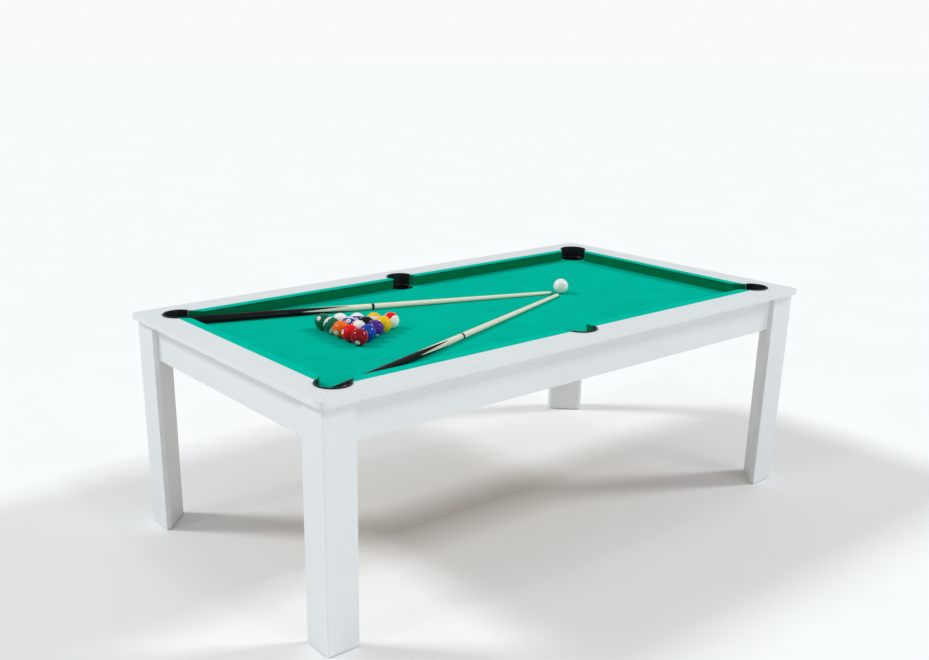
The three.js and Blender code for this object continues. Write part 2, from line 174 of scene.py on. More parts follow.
def blended(tree, a, b, factor, mode="MULTIPLY"):
    node = tree.nodes.new("ShaderNodeMix")
    node.data_type = "RGBA"
    node.blend_type = mode
    node.inputs["Factor"].default_value = factor
    tree.links.new(a, node.inputs["A"])
    tree.links.new(b, node.inputs["B"])
    return node.outputs["Result"]


def summed(tree, a, b, share):
    """a plus share times b."""
    node = tree.nodes.new("ShaderNodeMath")
    node.operation = "MULTIPLY_ADD"
    node.inputs[1].default_value = share
    tree.links.new(b, node.inputs[0])
    tree.links.new(a, node.inputs[2])
    return node.outputs["Value"]


def ranged(tree, factor, low, high):
    """A factor from 0 to 1 spread over low to high."""
    node = tree.nodes.new("ShaderNodeMapRange")
    node.inputs["To Min"].default_value = low
    node.inputs["To Max"].default_value = high
    tree.links.new(factor, node.inputs["Value"])
    return node.outputs["Result"]


def bump(tree, shader, height, strength, distance):
    node = tree.nodes.new("ShaderNodeBump")
    node.inputs["Strength"].default_value = strength
    node.inputs["Distance"].default_value = distance * MM
    tree.links.new(height, node.inputs["Height"])
    tree.links.new(node.outputs["Normal"], shader.inputs["Normal"])


def tint(colour, share):
    return tuple(min(1.0, channel * share) for channel in colour)


def along_grain(axis, along, across):
    return [along if i == axis else across for i in range(3)]


def laminate(name, axis):
    """White melamine with a faint printed and pressed grain along one axis."""
    material, tree, shader = shader_of(name, 0.42, Specular_IOR_Level=0.35)
    white = (0.775, 0.805, 0.815)
    grain = noise(tree, scaled_place(tree, along_grain(axis, 5, 260)), 1.0, 5.0, 0.62, 0.4)
    pores = noise(tree, scaled_place(tree, along_grain(axis, 26, 900)), 1.0, 3.0, 0.55)
    tones = ramp(tree, grain, (0.30, tint(white, 0.975)), (0.52, white), (0.75, tint(white, 1.02)))
    clouds = noise(tree, scaled_place(tree, (1, 1, 1)), 3.2, 3.0)
    cloud_tones = ramp(tree, clouds, (0.3, (0.975, 0.975, 0.98)), (0.7, (1, 1, 1)))
    tree.links.new(blended(tree, tones, cloud_tones, 1.0), shader.inputs["Base Color"])
    tree.links.new(ranged(tree, grain, 0.36, 0.5), shader.inputs["Roughness"])
    bump(tree, shader, summed(tree, pores, grain, 0.8), 0.12, 0.1)
    return material


def billiard_cloth(name, colour, nap):
    """Worsted cloth: a fine weave, flecks of lighter fibre and a soft mottled nap."""
    material, tree, shader = shader_of(name, 0.95, Specular_IOR_Level=0.0)
    weave = noise(tree, scaled_place(tree, (1, 1, 1)), 1500, 2.0, 0.6)
    fleck = noise(tree, scaled_place(tree, (700, 2300, 1500)), 1.0, 2.0, 0.6)
    mottle = noise(tree, scaled_place(tree, (1, 1, 1)), nap, 4.0, 0.55)
    fibre = ramp(tree, weave, (0.25, tint(colour, 0.80)), (0.5, colour), (0.8, tint(colour, 1.2)))
    broad = ramp(tree, mottle, (0.3, (0.93, 0.93, 0.93)), (0.7, (1.04, 1.04, 1.04)))
    tree.links.new(blended(tree, fibre, broad, 1.0), shader.inputs["Base Color"])
    bump(tree, shader, summed(tree, weave, fleck, 0.7), 0.3, 0.15)
    return material


def moulded_plastic(name, colour, roughness):
    """Injection-moulded plastic with a fine pebbled skin and a little tone variation."""
    material, tree, shader = shader_of(name, roughness, Specular_IOR_Level=0.18)
    pebble = noise(tree, scaled_place(tree, (1, 1, 1)), 900, 3.0, 0.6)
    broad = noise(tree, scaled_place(tree, (1, 1, 1)), 24, 3.0)
    tones = ramp(tree, broad, (0.3, tint(colour, 0.85)), (0.7, tint(colour, 1.2)))
    tree.links.new(tones, shader.inputs["Base Color"])
    tree.links.new(ranged(tree, broad, roughness - 0.05, roughness + 0.1), shader.inputs["Roughness"])
    bump(tree, shader, pebble, 0.25, 0.1)
    return material


def wood(name, pale, dark, axis_scale, roughness, coat=0.0):
    """Wood whose grain runs along the axis with the smallest scale."""
    material, tree, shader = shader_of(name, roughness, Coat_Weight=coat, Coat_Roughness=0.12)
    place = scaled_place(tree, axis_scale)
    grain = noise(tree, place, 1.0, 6.0, 0.6, 0.6)
    fine = noise(tree, place, 5.0, 3.0, 0.6)
    tones = ramp(tree, grain, (0.32, dark), (0.5, tint(pale, 0.96)), (0.7, pale))
    streaks = ramp(tree, fine, (0.35, (0.93, 0.91, 0.88)), (0.6, (1, 1, 1)))
    tree.links.new(blended(tree, tones, streaks, 1.0), shader.inputs["Base Color"])
    tree.links.new(ranged(tree, grain, roughness - 0.05, roughness + 0.1), shader.inputs["Roughness"])
    bump(tree, shader, summed(tree, grain, fine, 0.5), 0.15, 0.1)
    return material


def fibreboard(name):
    """Raw fibreboard: short pressed fibres with darker specks."""
    material, tree, shader = shader_of(name, 0.85, Specular_IOR_Level=0.2)
    fibres = noise(tree, scaled_place(tree, (260, 420, 300)), 1.0, 5.0, 0.65)
    specks = noise(tree, scaled_place(tree, (1, 1, 1)), 1400, 1.0)
    tones = ramp(tree, fibres, (0.3, (0.30, 0.21, 0.13)), (0.7, (0.44, 0.33, 0.21)))
    dots = ramp(tree, specks, (0.30, (0.6, 0.5, 0.42)), (0.42, (1, 1, 1)))
    tree.links.new(blended(tree, tones, dots, 1.0), shader.inputs["Base Color"])
    bump(tree, shader, fibres, 0.3, 0.3)
    return material


def lacquer(name, colour, roughness=0.16):
    """Gloss lacquer over a smooth core, with faint waves left by the polishing."""
    material, tree, shader = shader_of(name, roughness, Specular_IOR_Level=0.12, Coat_Weight=0.04)
    shader.inputs["Coat Roughness"].default_value = 0.04
    waves = noise(tree, scaled_place(tree, (1, 1, 1)), 60, 2.0)
    fine = noise(tree, scaled_place(tree, (1, 1, 1)), 700, 2.0)
    tones = ramp(tree, waves, (0.3, tint(colour, 0.88)), (0.7, tint(colour, 1.08)))
    tree.links.new(tones, shader.inputs["Base Color"])
    tree.links.new(ranged(tree, fine, roughness - 0.05, roughness + 0.07), shader.inputs["Roughness"])
    bump(tree, shader, fine, 0.04, 0.02)
    return material


def resin(name, colour):
    """Polished cast resin: a deep gloss with cloudy colour and hair-fine wear."""
    material, tree, shader = shader_of(name, 0.1, Specular_IOR_Level=0.2, Coat_Weight=0.06)
    shader.inputs["Coat Roughness"].default_value = 0.03
    clouds = noise(tree, scaled_place(tree, (1, 1, 1)), 55, 4.0, 0.6)
    wear = noise(tree, scaled_place(tree, (300, 2400, 900)), 1.0, 2.0)
    tones = ramp(tree, clouds, (0.3, tint(colour, 0.88)), (0.7, tint(colour, 1.1)))
    tree.links.new(tones, shader.inputs["Base Color"])
    tree.links.new(ranged(tree, wear, 0.05, 0.12), shader.inputs["Roughness"])
    return material


def leather(name):
    """The pressed leather of a cue tip, dusted with chalk."""
    material, tree, shader = shader_of(name, 0.9, Specular_IOR_Level=0.2)
    dust = noise(tree, scaled_place(tree, (1, 1, 1)), 900, 3.0)
    tones = ramp(tree, dust, (0.35, (0.05, 0.035, 0.03)), (0.65, (0.12, 0.14, 0.2)))
    tree.links.new(tones, shader.inputs["Base Color"])
    bump(tree, shader, dust, 0.5, 0.2)
    return material


LAMINATES = [laminate(f"white_laminate_{axis}", i) for i, axis in enumerate("xyz")]
BED_CLOTH = billiard_cloth("bed_cloth", (0.0008, 0.46, 0.33), 9)
CUSHION_CLOTH = billiard_cloth("cushion_cloth", (0.0008, 0.50, 0.37), 16)
# A darker copy of the cushion cloth for the face under the nose and the jaw ends: painted shade standing
# in for the shadow under the cushion's nose.
CUSHION_FACE_PAINTED_SHADE_CLOTH = billiard_cloth("cushion_face_painted_shade_cloth", (0.0006, 0.185, 0.075), 16)
FIBREBOARD = fibreboard("slab_fibreboard")
SOFTWOOD = wood("beam_softwood", (0.60, 0.44, 0.26), (0.40, 0.26, 0.13), (150, 6, 90), 0.7)
POCKET_PLASTIC = moulded_plastic("pocket_plastic", (0.011, 0.012, 0.016), 0.38)
FOOT_PLASTIC = moulded_plastic("foot_plastic", (0.028, 0.028, 0.030), 0.55)
MAPLE = wood("cue_maple", (1.0, 0.90, 0.75), (0.96, 0.82, 0.64), (140, 5, 140), 0.32, 0.2)
BLACK_LACQUER = lacquer("black_lacquer", (0.007, 0.007, 0.008))
CREAM_TRIM = lacquer("cream_trim", (0.82, 0.78, 0.68), 0.25)
TIP_LEATHER = leather("tip_leather")
BUMPER_RUBBER = moulded_plastic("bumper_rubber", (0.012, 0.012, 0.012), 0.7)
BALL_WHITE = resin("ball_white", (0.96, 0.93, 0.87))
NUMBER_INK = resin("number_ink", (0.012, 0.012, 0.014))
BALL_COLOURS = {
    1: ("yellow", (1.0, 0.55, 0.003)), 2: ("blue", (0.01, 0.055, 0.42)),
    3: ("red", (0.86, 0.002, 0.004)), 4: ("purple", (0.085, 0.02, 0.26)),
    5: ("orange", (1.0, 0.16, 0.006)), 6: ("green", (0.002, 0.15, 0.072)),
    7: ("maroon", (0.34, 0.001, 0.012)), 8: ("black", (0.006, 0.006, 0.008)),
}
BALL_RESINS = {n: resin(f"ball_{word}", colour) for n, (word, colour) in BALL_COLOURS.items()}


# ---- Mesh helpers ----


def shade(mesh, angle):
    """Smooth shading, with the edges sharper than an angle, in degrees, kept sharp."""
    mesh.polygons.foreach_set("use_smooth", [True] * len(mesh.polygons))
    mesh.set_sharp_from_angle(angle=math.radians(angle))


def add_piece(name, bm, materials, body, slot, *nodes, sharp=35):
    bmesh.ops.recalc_face_normals(bm, faces=bm.faces)
    mesh = bpy.data.meshes.new(name)
    bm.to_mesh(mesh)
    bm.free()
    for material in materials:
        mesh.materials.append(material)
    shade(mesh, sharp)
    piece = bpy.data.objects.new(name, mesh)
    bpy.context.scene.collection.objects.link(piece)
    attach(piece, body)
    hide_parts(*nodes)
    return piece


def add_bevel(piece, width, segments, angle):
    bevel = piece.modifiers.new("eased_edges", "BEVEL")
    bevel.width = width * MM
    bevel.segments = segments
    bevel.limit_method = "ANGLE"
    bevel.angle_limit = math.radians(angle)
    bevel.harden_normals = False
    return bevel


def lathe(bm, rings, segments, frame_matrix, materials=None):
    """Revolves rings of (height, radius) about local Z. A height may be a function of the turn. The ends
    close on the axis.
    materials gives the index for the band after each ring."""
    loops = []
    for height, radius in rings:
        loop = []
        for i in range(segments):
            turn = 2 * math.pi * i / segments
            h = height(turn) if callable(height) else height
            loop.append(bm.verts.new(
                frame_matrix @ Vector((radius * math.cos(turn), radius * math.sin(turn), h))
            ))
        loops.append(loop)
    for k, (low, high) in enumerate(zip(loops, loops[1:])):
        for i in range(segments):
            j = (i + 1) % segments
            face = bm.faces.new((low[i], low[j], high[j], high[i]))
            face.material_index = materials[k] if materials else 0
    for k, loop in ((0, loops[0]), (len(loops) - 2, loops[-1])):
        face = bm.faces.new(loop)
        face.material_index = materials[k] if materials else 0
    return loops


def arc(centre, radius, start, end, steps):
    """Points on an arc, angles in degrees."""
    return [
        (
            centre[0] + radius * math.cos(math.radians(start + (end - start) * i / steps)),
            centre[1] + radius * math.sin(math.radians(start + (end - start) * i / steps)),
        )
        for i in range(steps + 1)
    ]


# ---- Boards and other parts that keep their CAD shape ----


def dress(node, material, width=BOARD_EDGE, sharp=35):
    """Gives a CAD node its material, and eases its edges with modifiers."""
    piece = frame["nodes"][node]
    mesh = piece.data
    normals = mesh.attributes.get("custom_normal")
    if normals:
        mesh.attributes.remove(normals)
    mesh.materials.clear()
    mesh.materials.append(material)
    mesh.polygons.foreach_set("material_index", [0] * len(mesh.polygons))
    mesh.polygons.foreach_set("use_smooth", [True] * len(mesh.polygons))
    weld = piece.modifiers.new("welded", "WELD")
    weld.merge_threshold = WELD_REACH * MM
    add_bevel(piece, width, 2, sharp)
    smooth = piece.modifiers.new("weighted_normals", "WEIGHTED_NORMAL")
    smooth.keep_sharp = True
    smooth.weight = 100


SIDE_AXES = {"front": 0, "back": 0, "left": 1, "right": 1}
UPRIGHT = 2

for node in frame["nodes"]:
    kind, side = node.split("_")[0], node.split("_")[-1]
    if kind in ("rail", "apron"):
        dress(node, LAMINATES[SIDE_AXES[side]])
    elif kind == "leg":
        dress(node, LAMINATES[UPRIGHT])
    elif kind == "foot":
        dress(node, FOOT_PLASTIC)
    elif node.startswith("cross_beam"):
        dress(node, SOFTWOOD, 2)
dress("bed_slab", FIBREBOARD)


# ---- Pockets and cloth ----


def pocket_centres():
    """Each pocket's name and centre, from the openings that it leaves for a ball."""
    centres = {}
    for opening in frame["record"]["physics"]["openings"]:
        low, high = (Vector(corner) for corner in opening["box_m"])
        centres[opening["name"].removesuffix("_pocket")] = (low + high).to_2d() / 2
    return centres


POCKETS = pocket_centres()
BED_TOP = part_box("bed_cloth")[1].z
RAIL_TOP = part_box("rail_left")[1].z


def outward(centre):
    """The direction from a pocket away from the middle of the table, straight or at 45 degrees."""
    x = 0 if abs(centre.x) < MM else math.copysign(1, centre.x)
    return Vector((x, math.copysign(1, centre.y))).normalized()


def bed_outline(inset, steps=24):
    """The cloth's outline, anticlockwise, with its pocket holes smaller by an inset. Each point comes
    with whether it is on a hole."""
    low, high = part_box("bed_cloth")
    order = ["front_left", "front_middle", "front_right", "back_right", "back_middle", "back_left"]
    radius = (SLAB_HOLE + HOLE_RIM - inset) * MM
    points = []
    for name in order:
        centre = POCKETS[name]
        out = outward(centre)
        side = Vector((-out.y, out.x))
        first, last = centre - side * radius, centre + side * radius
        # The outline comes in along one side of the slot and goes out along the other.
        points.append((clipped(first, out, low, high), False))
        for i in range(steps + 1):
            turn = math.pi * i / steps
            on_arc = centre - side * radius * math.cos(turn) - out * radius * math.sin(turn)
            points.append((on_arc, True))
        points.append((clipped(last, out, low, high), False))
    return points


def clipped(point, direction, low, high):
    """Where a ray from a point inside the bed's outline leaves it."""
    reaches = []
    for axis in range(2):
        if abs(direction[axis]) > 1e-6:
            edge = high[axis] if direction[axis] > 0 else low[axis]
            reaches.append((edge - point[axis]) / direction[axis])
    return point + direction * min(reaches)


def build_cloth():
    """One sheet stretched over the slab, turned down into the pockets."""
    turned = CLOTH_THICKNESS + HOLE_RIM
    levels = [
        (turned * math.sin(a), turned * (1 - math.cos(a)))
        for a in (math.pi / 2 * i / CLOTH_TURN_STEPS for i in range(CLOTH_TURN_STEPS + 1))
    ]
    levels += [(turned, CLOTH_FLAP), (HOLE_RIM, CLOTH_FLAP), (HOLE_RIM, turned)]
    bm = bmesh.new()
    loops = []
    for inset, depth in levels:
        loop = []
        for point, on_hole in bed_outline(inset):
            drop = depth if on_hole else min(depth, CLOTH_THICKNESS)
            loop.append(bm.verts.new((point.x, point.y, BED_TOP - drop * MM)))
        loops.append(loop)
    underside = [
        bm.verts.new((point.x, point.y, BED_TOP - CLOTH_THICKNESS * MM)) for point, _ in bed_outline(0)
    ]
    loops.append(underside)
    for a, b in zip(loops, loops[1:]):
        for i in range(len(a)):
            j = (i + 1) % len(a)
            bm.faces.new((a[i], a[j], b[j], b[i]))
    bm.faces.new(loops[0])
    bm.faces.new(loops[-1])
    bmesh.ops.remove_doubles(bm, verts=bm.verts, dist=DOUBLES_REACH * MM)
    bmesh.ops.dissolve_degenerate(bm, edges=bm.edges, dist=DOUBLES_REACH * MM)
    cloth = add_piece("stretched_bed_cloth", bm, [BED_CLOTH], "table", "bed_cloth", "bed_cloth")


build_cloth()


def cushion_section():
    """(distance from the rail, height) round a cushion from its underside to its top, in millimetres,
    and the number of points up to the middle of the nose."""
    top = RAIL_TOP / MM - LINER_SEAM
    bottom = BED_TOP / MM + LINER_SEAM
    middle = top + CUSHION_NOSE_RISE - CUSHION_NOSE_HEIGHT / 2
    foot = CUSHION_DEPTH - CUSHION_UNDERCUT
    centre = CUSHION_DEPTH - CUSHION_NOSE_REACH
    nose = [
        (centre + CUSHION_NOSE_REACH * math.cos(a), middle + CUSHION_NOSE_HEIGHT / 2 * math.sin(a))
        for a in (math.radians(NOSE_START + NOSE_SWEEP * i / 14) for i in range(15))
    ]
    face_steps, top_steps = 8, 12
    face = [
        (foot + (nose[0][0] - foot) * i / face_steps, bottom + (nose[0][1] - bottom) * i / face_steps)
        for i in range(face_steps)
    ]
    crown = [
        (nose[-1][0] * (1 - i / top_steps), nose[-1][1] + (top - nose[-1][1]) * i / top_steps)
        for i in range(1, top_steps + 1)
    ]
    return [(0, bottom), *face, *nose, *crown], len(face) + len(nose) // 2


def soft_min(a, b, ease):
    h = max(ease - abs(a - b), 0) / ease
    return min(a, b) - h * h * ease / 4


def cushion_stations(start, end, start_jaw, end_jaw):
    """(place along the rail, depth there), in millimetres: the depth grows along each jaw."""
    steps = 22
    span = CUSHION_DEPTH + CUSHION_TIP_EASE - JAW_START
    depths = [JAW_START + span * i / steps for i in range(steps + 1)]

    def jaw(at, sign, angle):
        return [
            (
                at + sign * depth * math.tan(math.radians(angle)),
                soft_min(depth, CUSHION_DEPTH, CUSHION_TIP_EASE),
            )
            for depth in depths
        ]

    return jaw(start, 1, start_jaw) + jaw(end, -1, end_jaw)[::-1]


def build_cushion(node):
    low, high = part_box(node)
    axis = 0 if high.x - low.x > high.y - low.y else 1
    across = 1 - axis
    inward = -1 if (low[across] + high[across]) > 0 else 1
    back = low[across] if inward > 0 else high[across]
    jaws = []
    for end in (low[axis], high[axis]):
        jaws.append(SIDE_JAW if axis == 0 and abs(end) < (high[axis] - low[axis]) / 2 else CORNER_JAW)
    section, face_end = cushion_section()
    bm = bmesh.new()
    loops = []
    for along, depth in cushion_stations(low[axis] / MM, high[axis] / MM, *jaws):
        loop = []
        for reach, height in section:
            place = Vector((0, 0, height * MM))
            place[axis] = along * MM
            place[across] = back + inward * min(reach, depth) * MM
            loop.append(bm.verts.new(place))
        loops.append(loop)
    # Material 1 is the darker cloth with painted shade. It goes on the face up to the middle of the nose
    # and on both jaw ends.
    for a, b in zip(loops, loops[1:]):
        for i in range(len(a)):
            j = (i + 1) % len(a)
            face = bm.faces.new((a[i], a[j], b[j], b[i]))
            face.material_index = 1 if 0 < i <= face_end else 0
    for loop in (loops[0], loops[-1]):
        bm.faces.new(loop).material_index = 1
    cloths = [CUSHION_CLOTH, CUSHION_FACE_PAINTED_SHADE_CLOTH]
    piece = add_piece(f"{node}_covered", bm, cloths, "table", "cushion_cloth", node, sharp=40)
    add_bevel(piece, CUSHION_EDGE, 3, 45)


for node in frame["nodes"]:
    if node.startswith("cushion"):
        build_cushion(node)


def liner_profile():
    """(radius, height) from the middle of a cup's underside, up its outside, over the flange and back
    down the inside, in millimetres."""
    bed = BED_TOP / MM
    top = RAIL_TOP / MM + FLANGE_HEIGHT
    bottom = bed - CUP_DEPTH
    shoulder = bed - CUP_SHOULDER
    wall = POCKET_RADIUS + POCKET_WALL
    under_flange = RAIL_TOP / MM + LINER_SEAM
    rim = FLANGE_RADIUS - FLANGE_EASE
    lip_ease = FLANGE_EASE + LIP_EXTRA
    lip = POCKET_RADIUS + lip_ease
    return [
        *arc((CUP_BOTTOM_RADIUS - CUP_FILLET, bottom + CUP_FILLET), CUP_FILLET, -90, -8, 6),
        (CUP_RADIUS, shoulder), (CUP_RADIUS, bed + LINER_SEAM), (wall, bed + LINER_SEAM),
        (wall, under_flange), (FLANGE_RADIUS - FLANGE_STEP, under_flange),
        *arc((rim, top - FLANGE_EASE), FLANGE_EASE, -30, 90, 6),
        *arc((lip, top - lip_ease), lip_ease, 90, 180, 7),
        (POCKET_RADIUS, bed), (CUP_RADIUS - CUP_WALL, bed - CUP_WALL), (CUP_RADIUS - CUP_WALL, shoulder),
        *arc((CUP_BOTTOM_RADIUS - CUP_FILLET, bottom + CUP_FILLET), CUP_FILLET - CUP_WALL, -8, -90, 5),
    ]


def cut_with(piece, cutter_bm):
    """Subtracts a closed shape from a piece's mesh."""
    mesh = bpy.data.meshes.new("cutter")
    cutter_bm.to_mesh(mesh)
    cutter_bm.free()
    cutter = bpy.data.objects.new("cutter", mesh)
    bpy.context.scene.collection.objects.link(cutter)
    modifier = piece.modifiers.new("cut", "BOOLEAN")
    modifier.operation = "DIFFERENCE"
    modifier.solver = "EXACT"
    modifier.object = cutter
    result = bpy.data.meshes.new_from_object(piece.evaluated_get(bpy.context.evaluated_depsgraph_get()))
    piece.modifiers.clear()
    piece.data = result
    bpy.data.objects.remove(cutter)


def build_liner(name, centre):
    out = outward(centre)
    turn = math.atan2(out.y, out.x)
    to_place = Matrix.Translation((centre.x, centre.y, 0)) @ Matrix.Rotation(turn, 4, "Z")
    rings = [(height * MM, radius * MM) for radius, height in liner_profile()]
    bm = bmesh.new()
    lathe(bm, rings, 112, to_place)
    piece = add_piece(
        f"{name}_liner", bm, [POCKET_PLASTIC], "table", "pocket_plastic", f"pocket_{name}",
        sharp=LINER_SHARP,
    )

    # The mouth is open from the cup's lip up, on the table's side of the cushions' ends.
    corner = abs(out.x) > MM
    rail_edge = rail_edge_from(centre)
    half_chord = math.sqrt((POCKET_RADIUS + POCKET_WALL) ** 2 - rail_edge ** 2)
    mouth = (rail_edge - half_chord) * math.sqrt(0.5) if corner else rail_edge
    reach = 2 * FLANGE_RADIUS
    low, high = BED_TOP / MM - CUP_WALL, RAIL_TOP / MM + 2 * FLANGE_HEIGHT
    cutter = bmesh.new()
    bmesh.ops.create_cube(cutter, size=1)
    size = Matrix.Diagonal(((reach + mouth) * MM, 2 * reach * MM, (high - low) * MM, 1))
    move = Matrix.Translation(((mouth - reach) / 2 * MM, 0, (low + high) / 2 * MM))
    cutter.transform(to_place @ move @ size)
    cut_with(piece, cutter)
    shade(piece.data, LINER_SHARP)
    add_bevel(piece, LINER_EDGE, 3, 50)


def rail_edge_from(centre):
    """How far a rail's inner edge is outside a pocket's centre, in millimetres."""
    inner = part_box("cushion_back_left")[1].y
    return (inner - abs(centre.y)) / MM + LINER_SEAM


for name, centre in POCKETS.items():
    build_liner(name, centre)


# ---- Balls ----
# A ball's number looks along its local Z, with the digits upright along local Y. A stripe's white caps
# are round local Y.

VIEW_HEADING = math.radians(CAMERA_AZIMUTH - 90)  # from the table towards the camera


def heading(turn, tilt):
    """A direction turned to the camera's right and tilted up, in degrees, from level and facing it."""
    a, e = VIEW_HEADING + math.radians(turn), math.radians(tilt)
    return Vector((math.cos(a) * math.cos(e), math.sin(a) * math.cos(e), math.sin(e)))


def facing(main, near_up, main_is_up=False):
    """A rotation whose Z, or else whose Y, is one direction, and whose other axis is near a second."""
    main = main.normalized()
    other = (near_up - main * main.dot(near_up)).normalized()
    up, number = (main, other) if main_is_up else (other, main)
    return Matrix((up.cross(number), up, number)).transposed()


UP = Vector((0, 0, 1))
BALL_TURNS = {
    1: facing(heading(10, -72), heading(0, 10)),
    2: facing(heading(-13, 10), UP),
    3: facing(heading(-62, 14), UP),
    4: facing(heading(14, -44), UP),
    5: facing(heading(-31, -12), heading(-150, 80)),
    6: facing(heading(-36, 36), UP),
    7: facing(heading(-12, -27), UP),
    8: facing(heading(-10, -73), heading(0, 10)),
    9: facing(heading(0, -14), heading(70, 0), True),
    10: facing(heading(-2, 46), heading(170, 42)),
    11: facing(heading(47, -12), heading(140, 60), True),
    12: facing(heading(-2, 22), heading(178, 68)),
    13: facing(heading(40, 40), heading(-80, 10), True),
    14: facing(heading(55, -35), heading(-70, -40), True),
    15: facing(heading(6, 62), heading(-30, -25), True),
    0: facing(heading(40, 30), UP),
}


def paint_ball(bm, radius, striped):
    """Cuts the disc and stripe borders into a ball and gives each face its material: 0 is the ball's
    colour and 1 is white."""
    disc = radius * math.cos(math.radians(NUMBER_DISC))
    stripe = radius * math.sin(math.radians(STRIPE_HALF))
    planes = [((0, 0, s * disc), (0, 0, 1)) for s in (-1, 1)]
    if striped:
        planes += [((0, s * stripe, 0), (0, 1, 0)) for s in (-1, 1)]
    for point, normal in planes:
        geometry = bm.verts[:] + bm.edges[:] + bm.faces[:]
        bmesh.ops.bisect_plane(bm, geom=geometry, plane_co=point, plane_no=normal, dist=radius * 1e-4)
    for face in bm.faces:
        middle = face.calc_center_median()
        on_disc = abs(middle.z) > disc
        on_cap = striped and abs(middle.y) > stripe
        face.material_index = 1 if on_disc or on_cap else 0
    for vertex in bm.verts:
        vertex.co = vertex.co.normalized() * radius


def digit_mesh(text):
    """Flat digits in the XY plane, centred, cut into small cells."""
    curve = bpy.data.curves.new("digits", "FONT")
    curve.body = text
    curve.size = 1
    curve.align_x = "CENTER"
    holder = bpy.data.objects.new("digits", curve)
    mesh = bpy.data.meshes.new_from_object(holder)
    bm = bmesh.new()
    bm.from_mesh(mesh)
    bpy.data.objects.remove(holder)
    low = Vector([min(v.co[i] for v in bm.verts) for i in range(3)])
    high = Vector([max(v.co[i] for v in bm.verts) for i in range(3)])
    size = DIGIT_HEIGHT * MM / (high.y - low.y)
    squeeze = TWO_DIGIT_SQUEEZE if len(text) > 1 else 1.0
    middle = (low + high) / 2
    bm.transform(Matrix.Diagonal((size * squeeze, size, size, 1)) @ Matrix.Translation(-middle))
    if text in ("6", "9"):
        bar = bmesh.ops.create_grid(bm, x_segments=1, y_segments=1, size=0.5)["verts"]
        drop, width, height = (share * DIGIT_HEIGHT * MM for share in UNDERLINE)
        shape = Matrix.Translation((0, -drop, 0)) @ Matrix.Diagonal((width, height, 1, 1))
        bmesh.ops.transform(bm, matrix=shape, verts=bar)
    cells = int(2 * DIGIT_HEIGHT / DIGIT_STEP)
    for i in range(cells + 1):
        at = (i * DIGIT_STEP - DIGIT_HEIGHT) * MM
        for point, normal in (((at, 0, 0), (1, 0, 0)), ((0, at, 0), (0, 1, 0))):
            geometry = bm.verts[:] + bm.edges[:] + bm.faces[:]
            bmesh.ops.bisect_plane(bm, geom=geometry, plane_co=point, plane_no=normal)
    bmesh.ops.remove_doubles(bm, verts=bm.verts, dist=0.01 * MM)
    return bm


def add_digits(bm, text, radius, side):
    """Wraps solid digits on a ball at one end of its number axis."""
    flat = digit_mesh(text)
    shells = []
    for level in (radius + DIGIT_PROUD * MM, radius - DIGIT_SUNK * MM):
        copies = {}
        for vertex in flat.verts:
            place = Vector((vertex.co.x * side, vertex.co.y, side * radius)).normalized() * level
            copies[vertex] = bm.verts.new(place)
        shells.append(copies)
    top, bottom = shells
    new_faces = []
    for face in flat.faces:
        new_faces.append(bm.faces.new([top[v] for v in face.verts]))
        new_faces.append(bm.faces.new([bottom[v] for v in reversed(face.verts)]))
    for edge in flat.edges:
        if len(edge.link_faces) == 1:
            a, b = edge.verts
            new_faces.append(bm.faces.new((top[a], top[b], bottom[b], bottom[a])))
    for face in new_faces:
        face.material_index = 2
    flat.free()


def build_ball(number):
    node = "ball_cue" if number == 0 else f"ball_{number:02d}"
    low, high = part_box(node)
    centre = (low + high) / 2
    radius = (high.z - low.z) / 2
    bm = bmesh.new()
    around, upright = BALL_SEGMENTS
    bmesh.ops.create_uvsphere(bm, u_segments=around, v_segments=upright, radius=radius)
    if number == 0:
        materials, slot = [BALL_WHITE], "ball_white"
    else:
        family = number if number <= 8 else number - 8
        paint_ball(bm, radius, number > 8)
        for side in (-1, 1):
            add_digits(bm, str(number), radius, side)
        materials = [BALL_RESINS[family], BALL_WHITE, NUMBER_INK]
        slot = f"ball_{BALL_COLOURS[family][0]}"
    bm.transform(Matrix.Translation(centre) @ BALL_TURNS[number].to_4x4())
    add_piece(f"{node}_resin", bm, materials, node, slot, node, sharp=50)


for number in range(16):
    build_ball(number)


# ---- Cues ----


def node_points(node):
    return [vertex.co.copy() for vertex in frame["nodes"][node].data.vertices]


def middle_of(points):
    return sum(points, Vector()) / len(points)


def cue_frame(cue):
    """A matrix whose Z runs from the cue's tip to its butt, with the tip at the origin, and the cue's
    length and radii, in millimetres."""
    shaft, butt = node_points(f"{cue}_shaft"), node_points(f"{cue}_butt")
    run = (middle_of(butt) - middle_of(shaft)).normalized()
    start = middle_of(shaft)
    along = [(point - start).dot(run) for point in shaft + butt]
    tip = start + run * min(along)
    length = max(along) - min(along)
    across = [((point - tip) - run * (point - tip).dot(run)).length for point in shaft + butt]
    near_tip = [r for r, d in zip(across, along) if d - min(along) < 5 * MM]
    matrix = Matrix.Translation(tip) @ run.to_track_quat("Z", "Y").to_matrix().to_4x4()
    return matrix, length / MM, max(near_tip) / MM, max(across) / MM


def splice(turn):
    """Where the dark butt begins at each turn round the cue: it runs forwards in long points."""
    share = ((turn - math.radians(SPLICE_TURN)) * SPLICE_POINTS / (2 * math.pi)) % 1
    return (SPLICE_END - (SPLICE_END - SPLICE_START) * abs(2 * share - 1)) * MM


